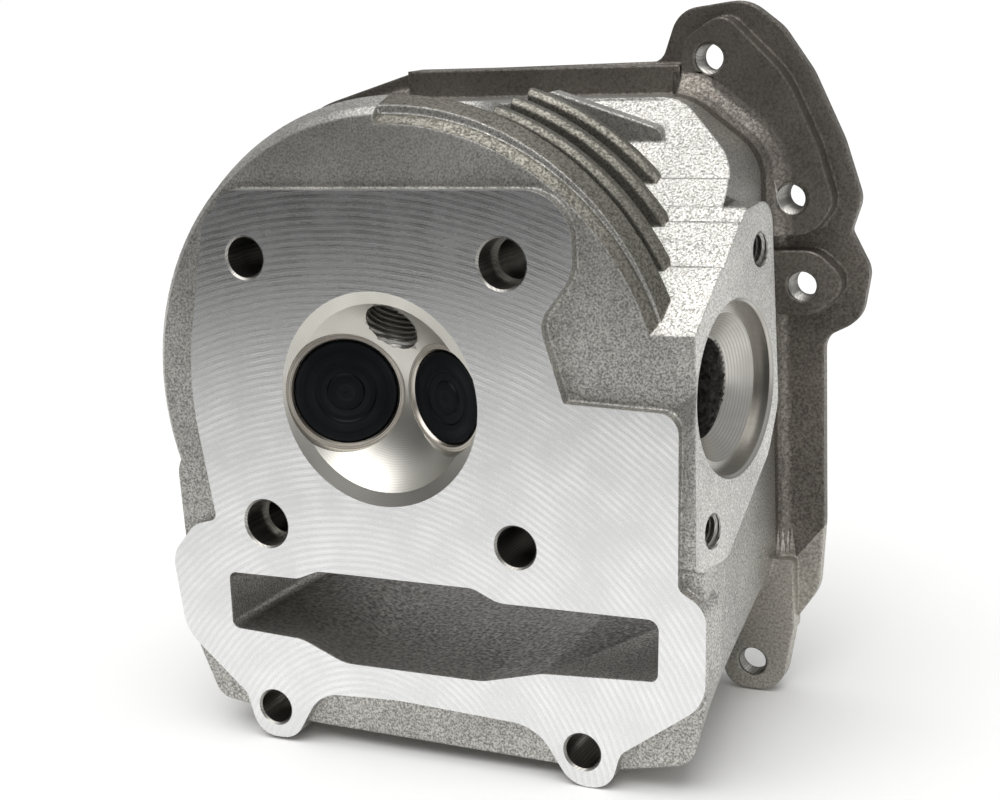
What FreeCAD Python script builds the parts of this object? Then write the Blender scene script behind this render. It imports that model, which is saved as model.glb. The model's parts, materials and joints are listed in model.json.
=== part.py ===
import FreeCAD, Part
import os
from math import cos, hypot, pi, radians, sin, tan

# Cylinder head of a small air-cooled single-cylinder four-stroke, with its two valves and their springs.
# Millimetres. The gasket face (the deck) lies in the plane Y = 0 and faces -Y, towards the cylinder.
# The origin is the middle of the four stud holes, on the deck. +X is the exhaust side, -X the intake
# side. The cam chain passes below, at -Z, and the spark plug enters from above, at +Z.

V = FreeCAD.Vector
BACK = V(0, 1, 0)          # from the deck towards the cover

# ---- deck -------------------------------------------------------------------------------------------
STUD_X = 52.0              # stud spacing along X
STUD_Z = 51.0              # stud spacing along Z
STUD_HOLE_R = 3.8
DOWEL_R = 4.5              # counterbore for the locating dowels, in two opposite stud holes
DOWEL_DEPTH = 7.0
EAR_Z = -63.0              # the two small screw holes beyond the chain tunnel
EAR_MID_X = 5.0
EAR_SPACING = 64.6
EAR_HOLE_R = 3.3
EAR_THICKNESS = 14.0
EAR_SCREW_HEAD_R = 6.2
HOLE_CHAMFER = 0.4
DECK_STEP = 2.5            # how far the machined deck stands out of the casting
# ---- fins -------------------------------------------------------------------------------------------
FIN_X = 3.0                # centre of the round fins
FIN_R = 54.0
FIN_R_STEP = 0.9           # each fin is a little larger than the one in front of it
RIM_R = 52.4               # front edge of the first fin, a thick disc behind the deck
RIM_STEP = 1.6             # mismatch of the two mould halves at the parting line
PARTING_X = 1.4
SLOPE_Z = 13.6             # the body's upper front slants back from here, behind the deck
SLOPE_RISE = 0.885
DISC_BACK = 8.5
FIN_FIRST = 12.5
FIN_PITCH = 7.5
FIN_COUNT = 3
FIN_THICKNESS = 3.6
FIN_TIP_ROUND = 0.9
FIN_DEPTH = 10.0
FIN_LOW_Z = -29.0
PLUG_GAP = (-16.0, 20.0)   # the fins stop here to let the plug spanner in
# ---- chamber and valves -----------------------------------------------------------------------------
MOUTH_R = 20.0             # chamber mouth on the deck
DOME_R = 17.6              # edge of the dome, inside the squish cone
SQUISH_DEPTH = 1.0
DOME_DEPTH = 8.6
VALVE_ANGLE = 21.0         # each stem leans this far from the deck's normal
VALVE_LENGTH = 64.0
STEM_R = 2.5
STEM_CLEARANCE = 0.02
VALVE_LIFT = 4.5           # stated in the record as the travel of both valves
INTAKE_X = -9.2            # where the stem's axis meets the seat ring's face
EXHAUST_X = 11.3
SEAT_Y = 4.5
INTAKE_HEAD_R = 9.6
EXHAUST_HEAD_R = 8.5
SEAT_WALL = 1.35           # seat ring stands out round the valve head
SEAT_DEPTH = 5.5
SEAT_LAND = 1.7            # width of the 45 degree seat, measured across
SEAT_GAP = 0.06            # between the ground faces of valve and seat
HEAD_SUNK = 0.3            # valve face below the seat ring's face
HEAD_MARGIN = 1.0
# ---- guide, seal, springs ---------------------------------------------------------------------------
GUIDE_R = 5.0
GUIDE_FROM = 13.0          # along the stem from the seat ring's face
WELL_FLOOR = 29.0          # spring well's floor, along the stem
GUIDE_ABOVE = 9.5          # guide stands this far out of the well's floor
GUIDE_NECK_R = 3.9
CLIP_WIRE = 0.9
SPRING_SEAT_T = 1.2
WELL_CLEARANCE = 1.2
SEAL_WALL = 1.0
SEAL_HEIGHT = 8.5
GARTER_WIRE = 0.45
OUTER_COIL_R = 9.3
OUTER_WIRE = 2.6
OUTER_TURNS = 6.5
INNER_COIL_R = 6.75
INNER_WIRE = 1.8
INNER_TURNS = 8.0
SPRING_GAP = 0.1
RETAINER_R = 10.4
RETAINER_FLANGE = 2.2
SPRING_TOP = 57.0          # underside of the retainer, along the stem
COLLET_ANGLE = 7.0
COLLET_LENGTH = 6.5
COLLET_TOP_R = 4.7
GROOVE_AT = 60.0
GROOVE_R = 0.55
# ---- ports ------------------------------------------------------------------------------------------
PORT_R = 9.0
EX_FACE_X = 59.5           # where the exhaust face crosses the deck plane
EX_FACE_TILT = 7.0         # it leans a little towards the cylinder
CUTTER_OVERRUN = 0.4       # the face mill runs this far past the boss's outline
EX_PORT = (18.4, 1.3)      # port centre: along the face from the deck plane, and Z
EX_SCREW = (10.9, 22.9)    # tapped holes, from the port centre, one up and one down
EX_GASKET_R = 15.3
EX_GASKET_DEPTH = 2.8
EX_CONE_R = 13.2
EX_CONE_DEPTH = 6.4
IN_FACE_X = -50.0
IN_PORT = (22.0, 0.0)
IN_SCREW = (0.0, 18.5)
PORT_ELBOW_Y = 17.5
M6_R = 3.0
TAP_DEPTH = 13.0
# ---- spark plug -------------------------------------------------------------------------------------
PLUG_X = 1.5
PLUG_Y = 4.3
PLUG_Z = 12.9
PLUG_ANGLE = 56.0
PLUG_R = 5.0
PLUG_REACH = 13.0
PLUG_WELL_R = 10.5
# ---- chain tunnel, cam box and cover flange ---------------------------------------------------------
FLOOR_Y = 39.5             # floor of the cam box
BOX_FRONT = 36.0
COVER_Y = 60.0             # machined face for the cover
PLATE_T = 2.4              # thin flange round the cam box
RIM_PROUD = 2.1            # machined rim above that flange
PLATEAU_T = 4.2            # raised pads in front of the flange
BOX_WALL = 5.0
STUD_BOSS_R = 8.0
STUD_BOSS_DROP = 8.0       # stud bosses end this far below the cover face
BOX_LEFT = -50.0
BOX_RIGHT = 58.0
BOX_TOP = 50.0
CORNER_X = 20.5            # right of this the box's front edge follows the slanted face
COVER_HOLES = ((46.9, 56.5), (62.6, 30.3), (64.3, 13.7))
CORNER_HOLES = ((-44.0, 36.5), (-43.0, -46.0))      # tapped from the cover face, in corner bosses
CORNER_BOSS_R = 6.0
LUG_HOLE = (52.8, -63.6)
LUG_T = 4.0
LUG_R = 5.8
BORED_PAST = 1.0           # cutting tools start this far outside the metal

PLATE_BACK = COVER_Y - RIM_PROUD
PLATE_FRONT = PLATE_BACK - PLATE_T
PLATEAU_FRONT = PLATE_FRONT - PLATEAU_T


def rounded(corners, place):
    """Closed wire through corners (a, b, radius); place turns (a, b) into a point."""
    n = len(corners)
    entries = []
    for i, (a, b, r) in enumerate(corners):
        p = V(a, b, 0)
        before = V(corners[i - 1][0], corners[i - 1][1], 0) - p
        after = V(corners[(i + 1) % n][0], corners[(i + 1) % n][1], 0) - p
        half = before.getAngle(after) / 2
        back = min(r / tan(half), 0.48 * before.Length, 0.48 * after.Length)
        r = back * tan(half)
        before.normalize()
        after.normalize()
        middle = before + after
        middle.normalize()
        crown = p + middle * (r / sin(half) - r)
        entries.append((p + before * back, crown, p + after * back))
    edges = []
    for i, (start, crown, end) in enumerate(entries):
        three = [place(q.x, q.y) for q in (start, crown, end)]
        edges.append(Part.Arc(*three).toShape())
        following = entries[(i + 1) % n][0]
        edges.append(Part.makeLine(three[2], place(following.x, following.y)))
    return Part.Wire(edges)


def slab(corners, y0, y1):
    """Rounded outline in X and Z, from depth y0 to y1."""
    wire = rounded(corners, lambda x, z: V(x, y0, z))
    return Part.Face(wire).extrude(V(0, y1 - y0, 0))


def rod(base, direction, radius, length):
    return Part.makeCylinder(radius, length, base, direction)


def turned(profile, base=V(0, 0, 0), axis=V(0, 0, 1)):
    """Profile of (radius, height) turned about an axis through base."""
    points = [V(r, 0, h) for r, h in profile]
    face = Part.Face(Part.makePolygon(points + points[:1]))
    solid = face.revolve(V(0, 0, 0), V(0, 0, 1), 360)
    solid.Placement = FreeCAD.Placement(base, FreeCAD.Rotation(V(0, 0, 1), axis))
    return solid


def chamfered_hole(base, direction, radius, length, chamfer=HOLE_CHAMFER):
    """Cutting tool: a hole with a small chamfer at its mouth, at base."""
    r = radius + chamfer
    out = BORED_PAST
    profile = [(0, -out), (r, -out), (r, 0), (radius, chamfer), (radius, length), (0, length)]
    return turned(profile, base, direction)


def fuse(solids):
    return solids[0].multiFuse(solids[1:])


# ---- frames of the inclined parts -------------------------------------------------------------------
def valve_side(name):
    """Everything that differs between the two valves."""
    sign = -1 if name == "intake" else 1
    lean = radians(VALVE_ANGLE)
    return {
        "base": V(INTAKE_X if sign < 0 else EXHAUST_X, SEAT_Y, 0),
        "axis": V(sign * sin(lean), cos(lean), 0),
        "head_r": INTAKE_HEAD_R if sign < 0 else EXHAUST_HEAD_R,
    }


def stand(solid, side):
    """Moves a part built along +Z from the seat ring's face onto its valve's axis."""
    turn = FreeCAD.Rotation(V(0, 0, 1), side["axis"])
    solid.Placement = FreeCAD.Placement(side["base"], turn).multiply(solid.Placement)
    return solid


def exhaust_place(u, z, out=0.0):
    """Point on the exhaust face: u along it from the deck plane, z up, out of the metal."""
    tilt = radians(EX_FACE_TILT)
    return V(EX_FACE_X + u * sin(tilt) + out * cos(tilt), u * cos(tilt) - out * sin(tilt), z)


def exhaust_normal():
    return exhaust_place(0, 0, 1) - exhaust_place(0, 0)


def plug_axis():
    return V(0, cos(radians(PLUG_ANGLE)), sin(radians(PLUG_ANGLE)))


# ---- outlines, X and Z with a corner radius ---------------------------------------------------------
DECK = [
    (-34.6, 31.6, 4), (-29.2, 37.9, 4), (34.2, 38.2, 9), (39.1, 32.8, 9), (39.2, 24, 8),
    (32.5, 15.4, 4.5), (36.5, 1.4, 0.6), (57.4, 0.6, 3.5), (56.4, -30.4, 2), (61.4, -33.4, 5), (60.8, -51, 8), (44.6, -62.4, 4), (42.4, -69.6, 5.6),
    (34.8, -69.6, 5.4), (28.5, -59.3, 9), (0, -58, 60), (-17, -58.8, 8), (-23.2, -69, 5),
    (-31.4, -69.2, 5.4), (-33.6, -60.8, 3), (-46.6, -49.2, 9), (-48.2, -33.5, 6), (-42.5, -27, 5),
    (-37.2, -25.6, 1.5), (-41, 2, 60),
]
CHAIN_SLOT = [
    (-35.4, -36, 1.5), (-20, -35.9, 4), (-15.5, -34, 3), (17, -34, 4), (22, -36.3, 6), (52.8, -36.2, 2),
    (52.2, -47.7, 1.5), (30, -48.9, 10), (18, -51.9, 10), (-11, -51.9, 8), (-20, -48.1, 8),
    (-35.6, -47.4, 1.5),
]
FRONT_WEB = [(20, 22, 1), (20, 52.6, 1.5), (42.6, 45, 2), (44.6, 40, 1), (46, 22, 1)]
TUNNEL_FRONT = [
    (-47, -12, 6), (60.0, -12, 2), (60.4, -51, 10), (57.4, -63.6, 5), (40, -67.3, 4), (-20, -66.2, 5),
    (-41.5, -63.4, 4), (-46, -52, 12),
]
TUNNEL_BACK = [
    (BOX_LEFT, -12, 6), (BOX_RIGHT, -12, 2), (BOX_RIGHT - 1, -44, 10), (BOX_RIGHT - 11, -60.4, 6),
    (36, -61, 4), (-20, -60.5, 5), (-36, -59.5, 6), (BOX_LEFT + 2, -46, 10),
]
CAM_BOX = [
    (BOX_LEFT, 42, 14), (-20, BOX_TOP, 20), (BOX_RIGHT - 14, BOX_TOP, 12), (BOX_RIGHT, 39, 10),
    (BOX_RIGHT, -35, 8), (BOX_RIGHT - 1, -44, 10), (BOX_RIGHT - 11, -60.4, 6), (-36, -59.5, 6),
    (BOX_LEFT, -46, 10),
]
FLANGE = [
    (-53, 40, 16), (-40, 48.6, 20), (-17, 55.2, 12), (36, 55.8, 3), (39.6, 65.4, 6), (53.0, 67.0, 8),
    (59.8, 61.6, 9), (65.4, 53.4, 14), (71.2, 40.6, 14), (74.6, 29.6, 5), (72.5, 23.6, 1.5),
    (76.2, 16.2, 5), (74.4, 6.6, 6), (67.2, 3.0, 4), (67.0, -34, 24), (65.8, -48, 9), (59, -57.6, 6),
    (38, -61.5, 8), (-42, -60.5, 8), (-53, -50, 8),
]
COVER_RIM = [
    (BOX_LEFT - 2, 40, 14), (-20, BOX_TOP + 3, 20), (BOX_RIGHT - 14, BOX_TOP + 3, 12),
    (BOX_RIGHT + 2, 40, 10), (BOX_RIGHT + 2, -35, 8), (BOX_RIGHT + 1, -46, 10), (BOX_RIGHT - 8, -61, 6), (-37, -60.5, 6),
    (BOX_LEFT - 2, -47, 10),
]
PLATEAU = [
    (41, 46, 1), (41.6, 60, 5), (49.6, 65, 4), (61.4, 53.2, 20), (67.4, 40, 20), (70.6, 29, 5),
    (66.4, 23.4, 6), (55, 23.2, 1), (54, 36, 6),
]
LOWER_EAR = [(54, 20.3, 1), (67, 20.4, 6), (73.6, 14.2, 5.5), (67, 8.2, 6), (54, 8.0, 1)]
EXHAUST_BOSS = [
    (0.6, -27.4, 1.5), (1.8, 0, 20), (4.4, 14.6, 6), (24.2, 32.0, 2), (34.6, 33, 6), (36.2, -5, 10),
    (31.5, -13.6, 8), (13, -28.4, 5),
]
INTAKE_BOSS = [
    (14, -25, 6), (9.6, -11, 8), (9.6, 11, 8), (14, 25, 6), (30, 25, 6), (35.5, 10, 12), (35.5, -10, 12),
    (30, -25, 6),
]


# ---- casting: metal ---------------------------------------------------------------------------------
def front_disc():
    """First fin: a thick disc behind the deck, the front of its right half a step lower."""
    front = [(0, 0), (RIM_R - 1.4, 0), (RIM_R, 1.4), (RIM_R + 0.2, 2.2), (0, 2.2)]
    thick = DISC_BACK - DECK_STEP
    rear = [(0, 2.0), (RIM_R + 0.1, 2.0), (FIN_R, thick - 0.5), (FIN_R - 0.5, thick), (0, thick)]
    high = 4 * FIN_R
    right = Part.makeBox(high, high, high, V(PARTING_X, -high / 2, FIN_LOW_Z))
    left = Part.makeBox(high, high, high, V(PARTING_X - high, -high / 2, FIN_LOW_Z))
    return [
        turned(front, V(FIN_X, DECK_STEP, 0), BACK).common(left),
        turned(front, V(FIN_X, DECK_STEP, -RIM_STEP), BACK).common(right),
        turned(rear, V(FIN_X, DECK_STEP, 0), BACK).common(left.fuse(right)),
    ]


def fins():
    """Round fins parallel to the deck, stopped at the plug's gap and above the chain tunnel."""
    tip = FIN_TIP_ROUND
    t = FIN_THICKNESS
    blades = []
    gap_low, gap_high = PLUG_GAP
    high = 2 * FIN_R
    for i in range(FIN_COUNT):
        y = FIN_FIRST + i * FIN_PITCH
        r = FIN_R + i * FIN_R_STEP
        profile = [(20, 0), (r - tip, 0), (r, tip), (r, t - tip), (r - tip, t), (20, t)]
        left = Part.makeBox(high, t, high - FIN_LOW_Z, V(gap_low - high, y, FIN_LOW_Z))
        right = Part.makeBox(high, t, high, V(gap_high, y, 0))
        ring = turned(profile, V(FIN_X, y, 0), BACK)
        small = turned([(20, 0), (FIN_R - 1, 0), (FIN_R - 1, t), (20, t)], V(FIN_X, y, 0), BACK)
        blades += [small.common(left), ring.common(right)]
    y = FIN_FIRST + FIN_COUNT * FIN_PITCH
    return blades + [slab(FRONT_WEB, y, FLOOR_Y)]


def slope(y):
    """Height of the casting's slanted upper front at depth y."""
    return SLOPE_Z + (y - DECK_STEP) * SLOPE_RISE


def slanted(x0, x1, y1):
    """Block under the slanted face, with a small ledge at each fin, from x0 to x1 and back to y1."""
    ledge = 0.5
    points = [(DECK_STEP, -36.0), (DECK_STEP, slope(DECK_STEP))]
    for i in range(FIN_COUNT + 1):
        y = FIN_FIRST + 1 + i * FIN_PITCH
        if y < y1:
            points += [(y, slope(y) + ledge / 2), (y + 0.2, slope(y) - ledge / 2)]
    points += [(y1, slope(y1)), (y1, -36.0)]
    face = Part.Face(Part.makePolygon([V(x0, y, z) for y, z in points + points[:1]]))
    return face.extrude(V(x1 - x0, 0, 0))


def core():
    """Body round the chamber, kept inside the fins on the left; its corner meets the exhaust face."""
    wedge = slanted(BOX_LEFT, BOX_RIGHT, PLATEAU_FRONT + 1).common(slab(CAM_BOX, 0, COVER_Y))
    gap_low = PLUG_GAP[0]
    beside = Part.makeBox(gap_low - 2 * BOX_LEFT, BOX_FRONT, 3 * FIN_R, V(2 * BOX_LEFT, 0, -FIN_R))
    wedge = wedge.cut(beside.cut(rod(V(FIN_X, 0, 0), BACK, FIN_R - FIN_DEPTH, COVER_Y)))
    corner = slanted(BOX_RIGHT - 10, BOX_RIGHT + 10, EXHAUST_BOSS[3][0] - 0.4)
    upper = Part.makeBox(20, COVER_Y, 2 * BOX_TOP, V(BOX_RIGHT - 10, 0, 0))
    return wedge.fuse(corner.common(upper).cut(beyond_exhaust_face()))


def beyond_exhaust_face():
    """Space outside the plane of the exhaust face."""
    corners = [exhaust_place(-10, -60), exhaust_place(60, -60), exhaust_place(60, 80), exhaust_place(-10, 80)]
    return Part.Face(Part.makePolygon(corners + corners[:1])).extrude(exhaust_normal() * 30)


def exhaust_boss():
    wire = rounded(EXHAUST_BOSS, exhaust_place)
    return Part.Face(wire).extrude(exhaust_normal() * -20)


def intake_boss():
    wire = rounded(INTAKE_BOSS, lambda y, z: V(IN_FACE_X, y, z))
    return Part.Face(wire).extrude(V(22, 0, 0))


def tunnel_body():
    """Walls round the chain tunnel, drawn in from the deck to the cam box."""
    front = rounded(TUNNEL_FRONT, lambda x, z: V(x, DECK_STEP, z))
    back = rounded(TUNNEL_BACK, lambda x, z: V(x, PLATEAU_FRONT, z))
    return Part.makeLoft([front, back], True, True)


def flare(y, radius):
    """Hollow fillet where the box's outer wall meets a face at depth y."""
    outline = rounded(CAM_BOX, lambda x, z: V(x, 0, z))
    sections = []
    for step in range(5):
        angle = radians(90.0 * step / 4)
        wire = outline.copy() if step == 0 else outline.makeOffset2D(radius * (1 - cos(angle)))
        wire.translate(V(0, y - radius + radius * sin(angle), 0))
        sections.append(wire)
    return Part.makeLoft(sections, True, True)


def flange():
    """Thin scalloped plate, the raised pads in front of it and the machined rim behind."""
    pieces = [
        slab(FLANGE, PLATE_FRONT, PLATE_BACK),
        flare(PLATE_FRONT + 0.1, 3.0),
        flare(PLATEAU_FRONT + 0.1, 5.0).common(slab(PLATEAU, FLOOR_Y, PLATE_FRONT)),
        slab(COVER_RIM, PLATE_FRONT, COVER_Y),
        slab(PLATEAU, PLATEAU_FRONT, PLATE_BACK),
        slab(LOWER_EAR, PLATEAU_FRONT, PLATE_BACK),
        Part.makeBox(58, PLATE_BACK - PLATEAU_FRONT, 10, V(-17, PLATEAU_FRONT, BOX_TOP - 4.6)),
    ]
    return pieces


def lug():
    """Lower right screw lug on its web."""
    x, z = LUG_HOLE
    r = LUG_R
    web = [(x - r, z - r, r - 0.1), (x + r, z - r, r - 0.1), (61.4, -55, 6), (61.6, -41.5, 1),
           (55, -41.5, 1), (x - r - 0.4, z + 3, 3)]
    front = PLATEAU_FRONT + 1.2
    web_back = [(50, -57, 1), (61.2, -57, 1), (61.6, -42, 1), (50, -42, 1)]
    return [slab(web, front, front + LUG_T), slab(web_back, front + 1, PLATE_BACK)]


def stud_points():
    return [(sx * STUD_X / 2, sz * STUD_Z / 2) for sx in (-1, 1) for sz in (-1, 1)]


def stud_bosses():
    top = COVER_Y - STUD_BOSS_DROP
    return [rod(V(x, DECK_STEP, z), BACK, STUD_BOSS_R, top - DECK_STEP) for x, z in stud_points()]


def corner_bosses():
    depth = TAP_DEPTH + 3
    return [rod(V(x, COVER_Y - depth, z), BACK, CORNER_BOSS_R, depth) for x, z in CORNER_HOLES]


def valve_towers():
    """Metal round each spring well and guide."""
    towers = []
    for name in ("intake", "exhaust"):
        side = valve_side(name)
        outer = OUTER_COIL_R + OUTER_WIRE / 2 + WELL_CLEARANCE + 3.0
        towers.append(stand(Part.makeCylinder(outer, WELL_FLOOR + 8.0 - 6.0, V(0, 0, 6.0)), side))
    return towers


def ear_points():
    return [(EAR_MID_X + s * EAR_SPACING / 2, EAR_Z) for s in (-1, 1)]


def metal():
    box = slab(CAM_BOX, BOX_FRONT, COVER_Y)
    hollow = box_hollow()
    ears = [rod(V(x, 0.5, z), BACK, EAR_HOLE_R + 2.6, EAR_THICKNESS - 0.5) for x, z in ear_points()]
    shell = fuse([slab(DECK, 0, DISC_BACK)] + front_disc() + fins()
                 + [core(), exhaust_boss(), intake_boss(), tunnel_body(), box] + lug()
                 + ears + flange())
    plug_seat = V(PLUG_X, PLUG_Y, PLUG_Z) + plug_axis() * (PLUG_REACH - 9)
    plug_boss = rod(plug_seat, plug_axis(), PLUG_WELL_R + 2.5, 9)
    inside = fuse(stud_bosses() + corner_bosses() + valve_towers() + [plug_boss])
    keep = slab(CAM_BOX, DECK_STEP, COVER_Y)
    return shell.cut(fuse([hollow, sloped_corner()])).fuse(inside.common(keep))


# ---- casting: cuts ----------------------------------------------------------------------------------
def sloped_corner():
    """Trims the box's upper right front corner to the slanted face, and steps the pad beside it."""
    y0, y1 = BOX_FRONT - 2, BOX_FRONT + 7
    points = [V(CORNER_X, y0, slope(FLOOR_Y) - SLOPE_RISE * (FLOOR_Y - y0)), V(CORNER_X, y1, slope(y1)),
              V(CORNER_X, y1, BOX_TOP + 8), V(CORNER_X, y0, BOX_TOP + 8)]
    face = Part.Face(Part.makePolygon(points + points[:1]))
    web_front = slab(FRONT_WEB, y0 - 1, FLOOR_Y - 1)
    corner = face.extrude(V(BOX_RIGHT + 4 - CORNER_X, 0, 0)).cut(web_front)
    step = Part.makeBox(8, 0.6, 11, V(39.6, PLATEAU_FRONT, 43))
    return corner.fuse(step)


def box_hollow():
    """Inside of the cam box and the chain tunnel below it, down to the deck."""
    inset = BOX_WALL
    top = BOX_TOP - inset - 1.5
    hollow = [
        (BOX_LEFT + inset, 37, 10), (-20, top, 16), (BOX_RIGHT - 17, top, 9), (BOX_RIGHT - inset, 34, 8),
        (BOX_RIGHT - inset, -42, 6), (44, -53.5, 6), (-36, -53.5, 6),
        (BOX_LEFT + inset, -42, 8),
    ]
    tunnel = slab(CHAIN_SLOT, -BORED_PAST, FLOOR_Y + 1)
    return slab(hollow, FLOOR_Y, COVER_Y + BORED_PAST).fuse(tunnel)


def chamber_cut():
    """Squish cone, dome, and the flat-bottomed sinks round the two seat rings."""
    ball = (DOME_R ** 2 + (DOME_DEPTH - SQUISH_DEPTH) ** 2) / (2 * (DOME_DEPTH - SQUISH_DEPTH))
    dome = Part.makeSphere(ball, V(0, DOME_DEPTH - ball, 0))
    dome = dome.common(rod(V(0, SQUISH_DEPTH - 0.01, 0), BACK, DOME_R, DOME_DEPTH))
    cone = turned([(0, -BORED_PAST), (MOUTH_R, -BORED_PAST), (MOUTH_R, 0), (DOME_R, SQUISH_DEPTH),
                   (0, SQUISH_DEPTH)], V(0, 0, 0), BACK)
    sinks = []
    for name in ("intake", "exhaust"):
        side = valve_side(name)
        r = side["head_r"] + SEAT_WALL
        sink = turned([(0, -16), (r + 5, -16), (r + 0.5, -1.2), (r, 0), (0, 0)])
        mouth = rod(V(0, -20, 0), BACK, MOUTH_R, 40)
        sinks.append(stand(sink, side).common(mouth))
    return fuse([dome, cone] + sinks)


def valve_cuts(name):
    """Seat pocket, throat, guide bore and spring well, all on the valve's axis."""
    side = valve_side(name)
    seat_r = side["head_r"] + SEAT_WALL
    throat = side["head_r"] - SEAT_LAND
    well_r = OUTER_COIL_R + OUTER_WIRE / 2 + WELL_CLEARANCE
    tool = [(0, -BORED_PAST), (seat_r, -BORED_PAST), (seat_r, SEAT_DEPTH), (throat, SEAT_DEPTH),
            (throat, GUIDE_FROM + 1.5), (GUIDE_R, GUIDE_FROM + 3.0), (GUIDE_R, WELL_FLOOR),
            (well_r, WELL_FLOOR), (well_r, WELL_FLOOR + 40), (0, WELL_FLOOR + 40)]
    return stand(turned(tool), side)


def port_cut(name):
    """From the throat round a bend to the port face."""
    side = valve_side(name)
    along = (PORT_ELBOW_Y - SEAT_Y) / side["axis"].y
    elbow = side["base"] + side["axis"] * along
    if name == "exhaust":
        mouth = exhaust_place(EX_PORT[0], EX_PORT[1])
    else:
        mouth = V(IN_FACE_X, IN_PORT[0], IN_PORT[1])
    run = mouth - elbow
    length = run.Length
    run.normalize()
    start = side["base"] + side["axis"] * (SEAT_DEPTH - 0.5)
    down = rod(start, side["axis"], side["head_r"] - SEAT_LAND, along - SEAT_DEPTH + 0.5)
    return fuse([down, Part.makeSphere(PORT_R, elbow), rod(elbow, run, PORT_R, length + BORED_PAST)])


def exhaust_face_cuts():
    """Stepped gasket seat round the exhaust port, and its two tapped holes."""
    inward = exhaust_normal() * -1
    wire = rounded(EXHAUST_BOSS, exhaust_place)
    cutter = wire.makeOffset2D(CUTTER_OVERRUN)
    milled = Part.Face(cutter).extrude(exhaust_normal() * 5)
    seat = turned([(0, -BORED_PAST), (EX_GASKET_R + 0.6, -BORED_PAST), (EX_GASKET_R + 0.6, 0),
                   (EX_GASKET_R, 0.6), (EX_GASKET_R, EX_GASKET_DEPTH), (EX_CONE_R, EX_GASKET_DEPTH),
                   (PORT_R, EX_CONE_DEPTH), (0, EX_CONE_DEPTH)], exhaust_place(*EX_PORT), inward)
    du, dz = EX_SCREW
    taps = []
    for s in (-1, 1):
        mouth = exhaust_place(EX_PORT[0] + s * du, EX_PORT[1] + s * dz)
        taps.append(chamfered_hole(mouth, inward, M6_R, TAP_DEPTH, 0.2))
    return [milled, seat] + taps


def intake_face_cuts():
    """The milled intake face, which also trims the fins, and its two tapped holes."""
    dy, dz = IN_SCREW
    milled = Part.makeBox(20, BOX_FRONT - DISC_BACK - 1, 54, V(IN_FACE_X - 20, DISC_BACK + 1, -27))
    taps = []
    for s in (-1, 1):
        mouth = V(IN_FACE_X, IN_PORT[0] + s * dy, IN_PORT[1] + s * dz)
        taps.append(chamfered_hole(mouth, V(1, 0, 0), M6_R, TAP_DEPTH, 0.2))
    return [milled] + taps


def plug_cuts():
    """Plug thread into the chamber, and the well for its spanner."""
    axis = plug_axis()
    base = V(PLUG_X, PLUG_Y, PLUG_Z)
    seat = base + axis * PLUG_REACH
    return [rod(base - axis * 4, axis, PLUG_R, PLUG_REACH + 5), rod(seat, axis, PLUG_WELL_R, 60)]


def stud_cuts():
    cuts = []
    for x, z in stud_points():
        dowel = x * z > 0
        cuts.append(rod(V(x, -BORED_PAST, z), BACK, STUD_HOLE_R, COVER_Y + 2 * BORED_PAST))
        if dowel:
            cuts.append(chamfered_hole(V(x, 0, z), BACK, DOWEL_R, DOWEL_DEPTH))
        else:
            cuts.append(chamfered_hole(V(x, 0, z), BACK, STUD_HOLE_R, DOWEL_DEPTH))
    for x, z in ear_points():
        cuts.append(chamfered_hole(V(x, 0, z), BACK, EAR_HOLE_R, EAR_THICKNESS + BORED_PAST))
        cuts.append(rod(V(x, EAR_THICKNESS, z - 1.5), BACK, EAR_SCREW_HEAD_R, COVER_Y))
    return cuts


def cover_cuts():
    """Tapped holes: through the flange and its pads, and blind in the corner bosses."""
    through = [rod(V(x, PLATEAU_FRONT - BORED_PAST, z), BACK, M6_R, COVER_Y)
               for x, z in COVER_HOLES + (LUG_HOLE,)]
    blind = [chamfered_hole(V(x, COVER_Y, z), BACK * -1, M6_R, TAP_DEPTH, 0.2) for x, z in CORNER_HOLES]
    return through + blind


def head_casting():
    tools = [chamber_cut(), valve_cuts("intake"), valve_cuts("exhaust"), port_cut("intake"),
             port_cut("exhaust")]
    tools += exhaust_face_cuts() + intake_face_cuts() + plug_cuts() + stud_cuts() + cover_cuts()
    return metal().cut(fuse(tools))


# ---- parts on the valve's axis, each built along +Z from the seat ring's face -----------------------
def valve(side):
    """Poppet valve: flat face with turned rings, tulip neck, stem with a collet groove."""
    r = side["head_r"]
    face = HEAD_SUNK
    cone = face + HEAD_MARGIN + r          # radius + height along the ground face
    neck_r = r - SEAT_LAND - 0.4
    chamfer = 0.4
    points = [V(0, 0, face - 0.1), V(0.34 * r, 0, face - 0.1), V(0.37 * r, 0, face + 0.2),
              V(0.57 * r, 0, face + 0.2), V(0.6 * r, 0, face), V(r - 0.25, 0, face),
              V(r, 0, face + 0.25), V(r, 0, face + HEAD_MARGIN), V(neck_r, 0, cone - neck_r)]
    neck_end = V(STEM_R, 0, cone + 0.62 * r)
    bend = V(STEM_R + 0.2 * (neck_r - STEM_R), 0, cone - neck_r + 0.3 * (neck_end.z - cone + neck_r))
    edges = [Part.makeLine(a, b) for a, b in zip(points, points[1:])]
    edges.append(Part.Arc(points[-1], bend, neck_end).toShape())
    stem = [neck_end, V(STEM_R, 0, VALVE_LENGTH - chamfer), V(STEM_R - chamfer, 0, VALVE_LENGTH),
            V(0, 0, VALVE_LENGTH), points[0]]
    edges += [Part.makeLine(a, b) for a, b in zip(stem, stem[1:])]
    body = Part.Face(Part.Wire(edges)).revolve(V(0, 0, 0), V(0, 0, 1), 360)
    return body.cut(Part.makeTorus(STEM_R, GROOVE_R, V(0, 0, GROOVE_AT)))


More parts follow.
